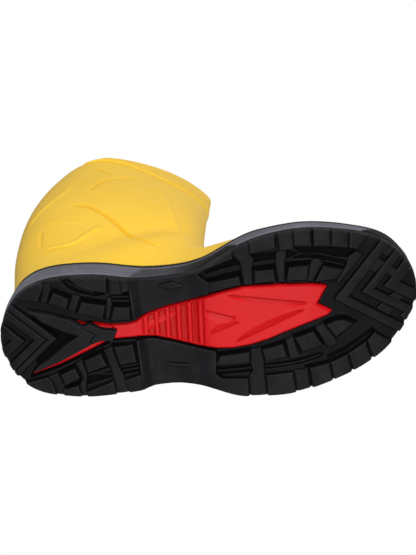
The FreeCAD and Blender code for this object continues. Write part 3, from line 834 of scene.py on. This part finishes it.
def build_inlay():
    """The red arch inlay with its ribs, and the narrow bed under the arrow."""
    def depth(a, c):
        return np.maximum(inside_depth(INLAY_OUTLINE, a, c), inside_depth(ARROW_BED, a, c)) + 0.3
    plate = Plate(depth, (14, -32), (244, 27), PLAN_PITCH)
    a, c = plate.plan.T
    z = inlay_heights(a, c)
    loop = plate.plan[plate.loop]
    top = base_at(loop[:, 0]) + WINDOW_DEPTH + 0.2
    z = np.minimum(z, base_at(a) + WINDOW_DEPTH)
    verts, faces = plate_solid(plate, z, [np.column_stack([loop, top])])
    piece = make_piece("arch_inlay", verts, faces, "shank_inlay", RED)
    # Painted shade in the valleys between the ribs.
    hollow_shade = np.zeros(len(verts))
    hollow_shade[:len(z)] = 0.7 * rib_valley(a, c, depth(a, c))
    paint(piece, "hollow_shade", hollow_shade)
    return piece


def crease(z, a, c, line, depth, half):
    """Presses a soft V groove into an underside along a line."""
    pick = near_to(line, a, c, 3 * half)
    z[pick] += depth * np.exp(-(distance(line, a[pick], c[pick], False) / half) ** 2)


def build_arrow():
    """The black arrow-shaped piece at the heel, with its creased tip."""
    plate = Plate(lambda a, c: inside_depth(ARROW, a, c) + 0.9, (18, -28), (90, 26), 0.35)
    a, c = plate.plan.T
    z = tread_at(a) + 0.05 + wall(-inside_depth(ARROW, a, c), 2.6, 0.3)
    crease(z, a, c, [(60.5, 5.2), (69.3, -1.6), (64.5, -7.4)], 1.2, 0.5)
    loop = plate.plan[plate.loop]
    top = np.maximum(inlay_heights(*loop.T) + 0.3, z[plate.loop] + 0.3)
    verts, faces = plate_solid(plate, z, [np.column_stack([loop, top])])
    return make_piece("heel_arrow_head", verts, faces, "heel_arrow", BLACK_ARROW)


# ---------------------------------------------------------------- upper
# Sections of the upper: back and front point (along, height), medial and lateral
# reach, centre across, place of the widest part, and the squareness of the back
# and front ends. They are the CAD's, changed mostly above the ball. The
# shaft's last nine began as the result of a least-squares fit.
RINGS = [
    ((301.5, 33), (301.5, 42), 8, 8, 1.5, 0.5, 2.0, 2.0),
    ((298, 31), (298, 49), 14.5, 15, 1.5, 0.42, 2.2, 2.0),
    ((291, 28), (291, 56), 24.5, 25, 1.5, 0.37, 2.6, 1.95),
    ((280, 24.8), (280, 62), 35, 36, 1.0, 0.33, 3.0, 1.95),
    ((265, 21.2), (265, 68), 44.5, 45, 0.5, 0.28, 3.4, 1.9),
    ((245, 17.4), (245, 74), 51.5, 52, -0.5, 0.22, 3.8, 1.85),
    ((222, 15), (222, 82), 55, 56, -1.5, 0.18, 4.0, 1.8),
    ((200, 14), (200, 92), 55, 56.5, -3.5, 0.17, 4.0, 1.8),
    ((180, 15), (180, 103), 51, 53, -5.5, 0.19, 4.0, 1.9),
    ((160, 17), (165, 115), 44.3, 45.5, -7.5, 0.25, 4.0, 2.25),
    ((140, 19), (157, 126), 38.5, 39, -7.0, 0.3, 3.8, 2.2),
    ((118, 21.5), (152, 133), 36, 37, -6.0, 0.34, 3.6, 2.3),
    ((95, 23.5), (150.6, 138), 37.5, 38, -5.0, 0.36, 3.4, 2.3),
    ((72, 24.5), (149.8, 142), 39.5, 40, -3.5, 0.38, 3.2, 2.3),
    ((50, 25), (149.4, 146), 40.5, 41, -2.5, 0.4, 3.0, 2.3),
    ((30, 26), (149.1, 149.5), 40.5, 40.5, -2.0, 0.42, 2.8, 2.3),
    ((14, 29.5), (149, 153), 40, 40, -1.7, 0.44, 2.6, 2.3),
    ((5, 38), (149, 157), 39.5, 39.5, -1.5, 0.46, 2.5, 2.3),
    ((1.5, 54), (149, 162), 40, 40, -1.2, 0.47, 2.4, 2.3),
    ((-0.9, 78), (149, 168), 41.6, 41, -0.5, 0.48, 2.3, 2.3),
    ((-3.8, 104), (149, 177), 43.3, 42, 0.2, 0.48, 2.33, 2.28),
    ((-7.8, 134), (149.1, 190), 45.7, 43.8, 1.0, 0.46, 2.34, 2.17),
    ((-10.6, 165), (149.5, 206), 48.4, 46, 1.0, 0.44, 2.36, 2.06),
    ((-12.3, 200), (150.2, 227), 51.2, 48.8, 0.5, 0.41, 2.36, 1.93),
    ((-12.9, 238), (151.2, 255), 53.2, 51, -0.6, 0.39, 2.31, 1.82),
    ((-10.8, 272), (152.6, 287), 54.8, 52.5, -1.6, 0.38, 2.25, 1.63),
    ((-7.4, 300), (154.2, 318), 57, 53.5, -2.6, 0.38, 2.1, 1.52),
    ((-6.0, 314), (155.2, 335.6), 58.4, 54, -3.0, 0.39, 1.95, 1.44),
]
RING_POINTS = 22
PER_SPAN = 16
AROUND = RING_POINTS * PER_SPAN
ROW_STEP = 1.15
WALL = 3.6
LINING_WALL = 1.4
HOLLOW_DEPTH = 1.8


def power(value, exponent):
    """A power that keeps the value's sign."""
    return math.copysign(abs(value) ** exponent, value)


def ring_points(ring):
    """The points of one section, from its back round the medial side."""
    (a_b, z_b), (a_t, z_t), medial, lateral, centre, widest, n_back, n_front = ring
    span = math.hypot(a_t - a_b, z_t - z_b)
    da, dz = (a_t - a_b) / span, (z_t - z_b) / span
    points = []
    for k in range(RING_POINTS):
        angle = 2 * math.pi * k / RING_POINTS
        run, side = -math.cos(angle), math.sin(angle)
        n = n_back if run < 0 else n_front
        part = widest if run < 0 else 1 - widest
        along = (widest + part * power(run, 2 / n)) * span
        across = centre + (medial if side > 0 else lateral) * power(side, 2 / n)
        points.append((a_b + da * along, across, z_b + dz * along))
    return np.array(points)


def upper_surface():
    """Rows of points over the upper, from the toe to the rim."""
    rings = []
    for ring in RINGS:
        points = ring_points(ring)
        knots = chord(points, True)
        where = np.concatenate([knots[k] + (knots[k + 1] - knots[k]) * np.arange(PER_SPAN) / PER_SPAN
                                for k in range(RING_POINTS)])
        rings.append(cubic(knots, points, where, True))
    rings = np.array(rings)
    steps = np.linalg.norm(np.diff(rings, axis=0), axis=2).mean(1)
    knots = np.concatenate([[0.0], np.cumsum(steps)])
    rows = int(knots[-1] / ROW_STEP)
    return cubic(knots, rings, np.linspace(0, knots[-1], rows))


def surface_normals(rows):
    """Outward unit normals of a closed-round grid of points."""
    around = np.roll(rows, -1, 1) - np.roll(rows, 1, 1)
    up = np.gradient(rows, axis=0)
    n = np.cross(up, around)
    return n / np.maximum(np.linalg.norm(n, axis=2), 1e-9)[:, :, None]


# Relief lines of the medial side, as (along, height) points with a depth in
# millimetres (positive is raised) and a half width. The lateral side mirrors them.
RELIEF = [
    ([(36, 185), (50, 180), (63, 167), (78, 143), (92, 117), (106, 96), (121, 80)], -2.4, 1.1),
    ([(55, 216), (60, 236), (68, 252), (79, 263), (98, 275)], -1.5, 1.2),
    ([(51, 296), (60, 287), (68, 275)], -1.2, 1.2),
    ([(99, 276), (109, 256), (119, 220), (126, 175), (131, 143), (137, 108)], 0.9, 2.8),
    ([(22, 107), (35, 102.5), (47, 101), (59, 115), (71, 131)], 1.3, 2.6),
    ([(22, 104), (35, 99.5), (48, 98), (60, 111)], -0.8, 1.5),
    ([(19, 146), (20, 128), (22, 110)], -0.8, 1.3),
    ([(21, 158), (36, 152), (52, 142)], 0.4, 2.5),
    ([(22, 66), (38, 63), (56, 60.5)], 0.7, 2.2),
    ([(2, 176), (6, 190), (20, 208), (36, 246)], 0.9, 3.2),
    ([(109, 54), (114, 64), (124, 82)], -0.3, 1.3),
]
# The collar's lower edge, as (along, height), with its step, groove and bead.
COLLAR_STEP = 0.8
COLLAR_GROOVE = 0.9
COLLAR_BEAD = 0.5
COLLAR = [(30, 321), (58, 319), (80, 314), (100, 302), (120, 291), (140, 288), (160, 291)]


def nearest_in_space(line, points):
    """Distance from points to an open line in space, and the share along it."""
    best = np.full(len(points), 1e9)
    share = np.zeros(len(points))
    count = len(line) - 1
    for i in range(count):
        p0, step = line[i], line[i + 1] - line[i]
        length = max(step @ step, 1e-9)
        t = np.clip((points - p0) @ step / length, 0, 1)
        d = np.linalg.norm(points - p0 - t[:, None] * step, axis=1)
        closer = d < best
        best[closer] = d[closer]
        share[closer] = (i + t[closer]) / count
    return best, share


def relief_heights(points):
    """How far each point of the upper stands out of its plain form."""
    out = np.zeros(len(points))
    a, c, z = points.T
    for line, depth, half in RELIEF:
        flat = smooth_line(line, 3.0)
        reach = 3 * half
        for side in (1, -1):
            wanted = (np.sign(c + 1.5) == side)
            near = wanted & (a > flat[:, 0].min() - reach) & (a < flat[:, 0].max() + reach)
            near &= (z > flat[:, 1].min() - reach) & (z < flat[:, 1].max() + reach)
            pick = np.nonzero(near)[0]
            if not len(pick):
                continue
            here = points[pick]
            match = [here[np.argmin((here[:, 0] - p[0]) ** 2 + (here[:, 2] - p[1]) ** 2)][1]
                     for p in flat]
            spine = np.stack([flat[:, 0], match, flat[:, 1]], 1)
            d, share = nearest_in_space(spine, here)
            taper = ease(share, 0.0, 0.12) * (1 - ease(share, 0.88, 1.0))
            out[pick] += depth * taper * np.exp(-(d / half) ** 2)
    line = np.array(COLLAR, float)
    above = z - np.interp(a, line[:, 0], line[:, 1])
    above[z < 260] = -50
    out += COLLAR_STEP * ease(above, -0.6, 0.8)
    out -= COLLAR_GROOVE * np.exp(-((above + 1.3) / 1.1) ** 2)
    out += COLLAR_BEAD * np.exp(-((above - 5.0) / 1.3) ** 2)
    return out


def tip_rows(rows, normals, inset):
    """Extra rows that close the toe with a small dome."""
    first = rows[0] - normals[0] * inset
    middle = first.mean(0)
    ahead = np.array([1.0, 0, 0])
    return [middle + (first - middle) * math.cos(t) + ahead * math.sin(t)
            for t in np.linspace(1.5, 0.25, 6)]


def rim_rows(outer, normal, rise, wall_thick):
    """Rows over a rounded rim, from the outer skin to the inner one."""
    middle = outer - normal * wall_thick / 2
    return [middle + (normal * math.cos(t) + rise * math.sin(t)) * wall_thick / 2
            for t in np.linspace(0.25, math.pi - 0.25, 7)]


def build_upper():
    """The yellow shell: outer skin, rounded rim and inner skin."""
    rows = upper_surface()
    normals = surface_normals(rows)
    flat = rows.reshape(-1, 3)
    swell = relief_heights(flat).reshape(rows.shape[:2])
    outer = rows + normals * swell[:, :, None]
    inner = rows - normals * WALL
    rise = rows[-1] - rows[-2]
    rise /= np.linalg.norm(rise, axis=1)[:, None]
    skin = tip_rows(rows, normals, 0.0) + list(outer)
    rim = rim_rows(outer[-1], normals[-1], rise, WALL + 0.8)
    inside = list(inner[::-2]) + tip_rows(rows, normals, WALL)[::-1]
    stack = skin + rim + inside
    verts = np.concatenate(stack)
    faces = grid_faces(len(stack), AROUND)
    faces.append(list(range(AROUND))[::-1])
    faces.append(list(range(len(verts) - AROUND, len(verts))))
    piece = make_piece("upper_shell", verts, faces, "upper", YELLOW)
    first = (len(skin) - len(outer)) * AROUND
    # Painted shade in the upper's grooves, deeper grooves darker.
    hollow_shade = np.zeros(len(verts))
    hollow_shade[first:first + swell.size] = np.clip(-swell.ravel() / HOLLOW_DEPTH, 0, 0.9)
    paint(piece, "hollow_shade", hollow_shade)
    return piece, rows, normals


def build_lining(rows, normals):
    """The sock lining just inside the shell."""
    last = int(len(rows) * 0.985)
    thin = rows[:last:2, ::2]
    n = normals[:last:2, ::2]
    outer = thin - n * (WALL + 0.06)
    inner = thin - n * (WALL + LINING_WALL)
    stack = list(outer) + [thin[-1] - n[-1] * (WALL + 0.7) + (thin[-1] - thin[-2]) * 0.3]
    stack += list(inner[::-1])
    verts = np.concatenate(stack)
    around = AROUND // 2
    faces = grid_faces(len(stack), around)
    faces.append(list(range(around))[::-1])
    faces.append(list(range(len(verts) - around, len(verts))))
    return make_piece("lining_sock", verts, faces, "lining", KNIT)


# ---------------------------------------------------------------- midsole
# Rows of the midsole's side: share of its height, and how far the row stands
# out at the heel, the waist and the toe.
RAND = [(0.0, 0.0, 0.0, 0.0), (0.05, 0.35, 0.3, 0.2), (0.2, 0.8, 0.8, 0.3), (0.4, 1.1, 1.2, 0.0),
        (0.56, 1.05, 1.2, -0.5), (0.64, 0.95, 0.95, -0.75), (0.78, 0.5, 0.2, -1.2),
        (0.92, -0.1, -0.4, -1.9)]
BEAD = 0.75
GUARD_START = 268
KNURL_PITCH = 1.75
KNURL = 0.2
LIP_DIP = 2.3
CORNER_REACH = 2.2
LOOK_FROM = 6.0
LOOK_TO = 30.0
SMOOTHED = 20


def build_rand(upper):
    """The grey midsole's side with its knurled lip, and the ledge up to the upper."""
    tree = BVHTree.FromPolygons([v.co for v in upper.data.vertices],
                                [p.vertices for p in upper.data.polygons])
    along = edge_line[:, 0]
    low, high = sole_top_at(along), lip_at(along) - BEAD
    high = high - LIP_DIP * ease(along, 185, 205) * (1 - ease(along, 272, 290))
    waist = ease(along, 98, 108) * (1 - ease(along, 168, 196))
    # Painted shade: along the waist, the rand's lower rows are blended towards black, more strongly
    # from along 122 to 150.
    band_shade_top = np.interp(along, (98, 108, 140, 172, 179), (-0.06, 0.66, 0.64, 0.5, -0.06))
    band_shade_strength = np.interp(along, (122, 150), (0.6, 1.0))
    thick = ease(along, 92, 112) * (1 - ease(along, 138, 158))
    toe = ease(along, 262, 286)
    corner = toe * ease(edge_line[:, 1], 2, 20)
    lip_shift = -0.3 - 0.3 * waist - 1.6 * toe + CORNER_REACH * corner
    run = chord(edge_line, True)[:-1]
    knurl = KNURL * np.cos(2 * np.pi * run / KNURL_PITCH)
    inward = []
    for (a, c), n, z in zip(edge_line, EDGE_NORMALS, high):
        start = Vector(place([(a + n[0] * LOOK_FROM, c + n[1] * LOOK_FROM, z)])[0])
        there = Vector(place([(a - n[0] * LOOK_TO, c - n[1] * LOOK_TO, z)])[0])
        hit = tree.ray_cast(start, (there - start).normalized(), 0.04)
        inward.append(hit[3] / MM - LOOK_FROM if hit[0] else 6.0)
    inward = np.array(inward)
    kernel = np.ones(2 * SMOOTHED + 1) / (2 * SMOOTHED + 1)
    ring = np.concatenate([inward[-SMOOTHED:], inward, inward[:SMOOTHED]])
    inward = np.convolve(ring, kernel, "valid") + 1.6
    rows = []
    dark_and_shade_rows = []

    def row(offset, height, dark_and_shade):
        dark_and_shade_rows.append(np.broadcast_to(dark_and_shade, along.shape))
        rows.append(np.column_stack([edge_line + EDGE_NORMALS * np.asarray(offset).reshape(-1, 1),
                                     np.broadcast_to(height, low.shape)]))
    row(-inward, low + 0.02, 0.0)
    for share, heel, mid, front in RAND:
        height = low + (high - BEAD - low) * share
        # The toe guard is black rubber. At the waist, the lower band adds painted shade.
        guard_and_band_shade = ease((along - GUARD_START) - (height - low), -0.6, 0.6)
        band_shade = 1 - ease(share, band_shade_top - 0.04, band_shade_top + 0.04)
        guard_and_band_shade = np.maximum(guard_and_band_shade, band_shade_strength * band_shade)
        out = heel + (mid - heel) * waist + (front - heel) * toe
        row(out + CORNER_REACH * share * corner, height, guard_and_band_shade)
    # The knurled lip rows are painted fully dark, and the row behind them half dark.
    for turn in np.linspace(-70, 120, 9):
        t = math.radians(turn)
        radius = BEAD + 0.4 * thick + knurl * (1 + thick) * max(0.0, math.cos(t * 0.8))
        row(lip_shift + radius * math.cos(t), high + radius * math.sin(t), 1.0)
    row(lip_shift - 1.1, high + 0.35, 0.5)
    row(-inward, high + 0.3, 0.0)
    verts = np.concatenate(rows)
    faces = grid_faces(len(rows), EDGE_POINTS)
    last = (len(rows) - 1) * EDGE_POINTS
    for k in range(EDGE_POINTS):
        n = (k + 1) % EDGE_POINTS
        faces.append([last + k, last + n, n, k])
    piece = make_piece("rand", verts, faces, "midsole", GREY)
    paint(piece, "dark_and_shade", dark_and_shade_rows)
    return piece


# ---------------------------------------------------------------- footbed
FLOOR = [(-6, 40), (6, 32), (20, 31.4), (50, 29.9), (72, 29.3), (95, 28.2), (118, 26.2), (140, 23.8),
         (160, 21.8), (180, 19.7), (200, 18.6), (222, 19.6), (245, 22), (265, 25.8), (280, 29.4),
         (291, 33), (312, 41)]
CENTRE = [(-20, -2), (60, -2.8), (120, -6.5), (160, -8.5), (200, -3.5), (250, 0), (330, 2)]
BOARD = 2.0
FOOTBED = 5.0
COVER_THICK = 0.9
OUTLINE_INSET = 12.0
BED_LENGTH = 0.915
BED_MIDDLE = 150
BED_PITCH = 1.5
floor_at = profile(FLOOR)


def bed_outline():
    """The footbed's outline: the sole's, narrowed and shortened."""
    middle_line = np.array(CENTRE, float)
    points = []
    for along, across in OUTLINE:
        middle = np.interp(along, middle_line[:, 0], middle_line[:, 1])
        half = abs(across - middle)
        keep = max(half - OUTLINE_INSET * min(1.0, half / 30), 0)
        points.append((BED_MIDDLE + (along - BED_MIDDLE) * BED_LENGTH,
                       middle + math.copysign(keep, across - middle)))
    return smooth_loop(points, 240)


def slab(name, outline, low, high, stands_for, material):
    """A sheet between two height functions, with rounded edges."""
    plate = Plate(lambda a, c: inside_depth(outline, a, c), (8, -60), (298, 56), BED_PITCH)
    a, c = plate.plan.T
    depth = np.maximum(inside_depth(outline, a, c), 0)
    bottom, top = low(a, c), high(a, c)
    fall = np.minimum(round_edge(depth, 1.6), 0.42 * (top - bottom))
    count = len(a)
    verts = np.concatenate([np.column_stack([a, c, bottom + 0.3 * fall]),
                            np.column_stack([a, c, top - fall])])
    faces = [list(f) for f in plate.faces]
    faces += [[v + count for v in reversed(f)] for f in plate.faces]
    loop = plate.loop
    for p, q in zip(loop, loop[1:] + loop[:1]):
        faces.append([q, p, p + count, q + count])
    return make_piece(name, verts, faces, stands_for, material)


def crown(a, c):
    """Cupping of the footbed: a raised edge at the heel and a low arch lift."""
    line = np.array(CENTRE, float)
    side = np.abs(c - np.interp(a, line[:, 0], line[:, 1])) / 45
    return 0.5 * side ** 2 * (1 - ease(a, 90, 140)) + 0.35 * np.cos(side * 3) * ease(a, 150, 200)


def build_footbed():
    """The foam insole and the textile on it."""
    outline = bed_outline()

    def level(height, lift=0.0):
        return lambda a, c: floor_at(a) + height + lift * crown(a, c)
    foam = slab("footbed_foam_body", outline, level(BOARD + 0.02), level(BOARD + FOOTBED - 0.05, 0.6),
                "footbed", FOAM)
    slab("footbed_top", outline, level(BOARD + FOOTBED, 0.6),
         level(BOARD + FOOTBED + COVER_THICK, 0.6), "footbed_cover", COVER)


# ---------------------------------------------------------------- stage
BACKDROP_RADIUS = 14.0
FLOOR_HALF = 12.0
FLOOR_DROP = 0.0006
MIDDLE = Vector((0, 0, 0.12))
# Square lights: name, place and side in metres, watts, and whether it only gives gloss.
LIGHTS = [
    ("softbox_low", (0.2, 0.0, -1.6), 1.4, 33.0, False),
    ("softbox_medial", (-1.45, -0.35, -0.55), 1.3, 24.8, False),
    ("sheen_low", (0.45, -0.08, -1.5), 1.8, 5.0, True),
    ("sheen_toe", (0.5, -0.6, -1.3), 0.9, 1.6, True),
    ("softbox_high", (0.3, -0.5, 1.9), 1.6, 20.0, False),
    ("softbox_lateral", (1.6, -0.6, 0.9), 1.2, 12.0, False),
    ("sheen_high", (1.1, -1.3, 1.0), 1.2, 5.0, True),
]


def area_light(name, position, side, watts, gloss):
    """A square light aimed at the boot: a soft box, or a sheen if gloss."""
    data = bpy.data.lights.new(name, "AREA")
    data.shape = "SQUARE"
    data.size = side
    data.energy = watts
    light = add_object(name, data)
    light.visible_diffuse = not gloss
    light.visible_glossy = gloss
    light.location = position
    light.rotation_euler = (MIDDLE - Vector(position)).to_track_quat("-Z", "Y").to_euler()


def hide_from(item, *rays):
    """Leaves an object out of the given kinds of rays."""
    for kind in rays:
        setattr(item, "visible_" + kind, False)


def build_backdrop():
    """A plain white dome far round the boot, seen only by the camera."""
    mesh = bpy.data.meshes.new("backdrop")
    work = bmesh.new()
    bmesh.ops.create_icosphere(work, subdivisions=4, radius=BACKDROP_RADIUS)
    work.to_mesh(mesh)
    work.free()
    dome = add_object("backdrop", mesh)
    material = bpy.data.materials.new("backdrop")
    material.use_nodes = True
    tree = material.node_tree
    tree.nodes.clear()
    glow = node(tree, "ShaderNodeEmission", in_Strength=1.0)
    end = node(tree, "ShaderNodeOutputMaterial")
    tree.links.new(glow.outputs[0], end.inputs["Surface"])
    mesh.materials.append(material)
    hide_from(dome, "shadow", "diffuse", "glossy", "transmission")


def build_floor():
    """A plain pale floor just under the boot."""
    mesh = bpy.data.meshes.new("floor")
    mesh.from_pydata([(x * FLOOR_HALF, y * FLOOR_HALF, -FLOOR_DROP)
                      for x, y in ((-1, -1), (1, -1), (1, 1), (-1, 1))], [], [(0, 1, 2, 3)])
    floor = add_object("floor", mesh)
    material, tree, shader = new_material("floor", (0.86, 0.86, 0.85), 0.7, 0.2)
    grain = spread(tree, noise(tree, 3, 4), 0.3, 0.7)
    tree.links.new(blend_colour(tree, grain, (0.85, 0.85, 0.845), (0.88, 0.88, 0.875)),
                   shader.inputs["Base Color"])
    # It is a floor from above and clear from below, where the camera stands.
    clear = node(tree, "ShaderNodeBsdfTransparent")
    side = node(tree, "ShaderNodeNewGeometry")
    mix = node(tree, "ShaderNodeMixShader")
    tree.links.new(side.outputs["Backfacing"], mix.inputs["Fac"])
    tree.links.new(shader.outputs[0], mix.inputs[1])
    tree.links.new(clear.outputs[0], mix.inputs[2])
    tree.links.new(mix.outputs[0], tree.nodes["Material Output"].inputs["Surface"])
    # Painted light: the floor glows more with distance, so that it turns paler and meets the white
    # dome softly.
    away = node(tree, "ShaderNodeVectorMath", operation="LENGTH")
    tree.links.new(own_place(tree), away.inputs[0])
    glow = spread(tree, away.outputs["Value"], 0.4, 2.4, 0.12, 0.85)
    tree.links.new(glow, shader.inputs["Emission Strength"])
    shader.inputs["Emission Color"].default_value = (1, 1, 1, 1)
    mesh.materials.append(material)
    hide_from(floor, "shadow", "diffuse", "glossy")


def build_stage():
    """World, floor, backdrop, camera and lights."""
    scene = bpy.context.scene
    world = bpy.data.worlds.new("studio")
    world.use_nodes = True
    background = world.node_tree.nodes["Background"]
    background.inputs["Color"].default_value = (1, 1, 1, 1)
    background.inputs["Strength"].default_value = 0.3
    scene.world = world
    scene.view_settings.view_transform = "Standard"
    build_floor()
    build_backdrop()

    # The camera looks up at the sole from below the medial side.
    eye = Vector((-0.3077, -0.0376, -0.8151))
    forward = Vector((0.3173, 0.0331, 0.9477)).normalized()
    up = Vector((-0.9407, -0.1153, 0.3190))
    right = forward.cross(up).normalized()
    up = right.cross(forward)
    data = bpy.data.cameras.new("camera")
    data.lens = 78.55
    data.sensor_width = 36.0
    camera = add_object("camera", data)
    camera.matrix_world = Matrix((
        (right.x, up.x, -forward.x, eye.x),
        (right.y, up.y, -forward.y, eye.y),
        (right.z, up.z, -forward.z, eye.z),
        (0, 0, 0, 1)))
    scene.camera = camera
    for light in LIGHTS:
        area_light(*light)


for node_name, finish in (("insole_board", board_material()), ("heel_pad", gel_material())):
    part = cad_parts[node_name]
    part.data.materials.clear()
    part.data.materials.append(finish)

build_outsole()
build_inlay()
build_arrow()
shell, shell_rows, shell_normals = build_upper()
build_lining(shell_rows, shell_normals)
build_rand(shell)
build_footbed()
build_stage()
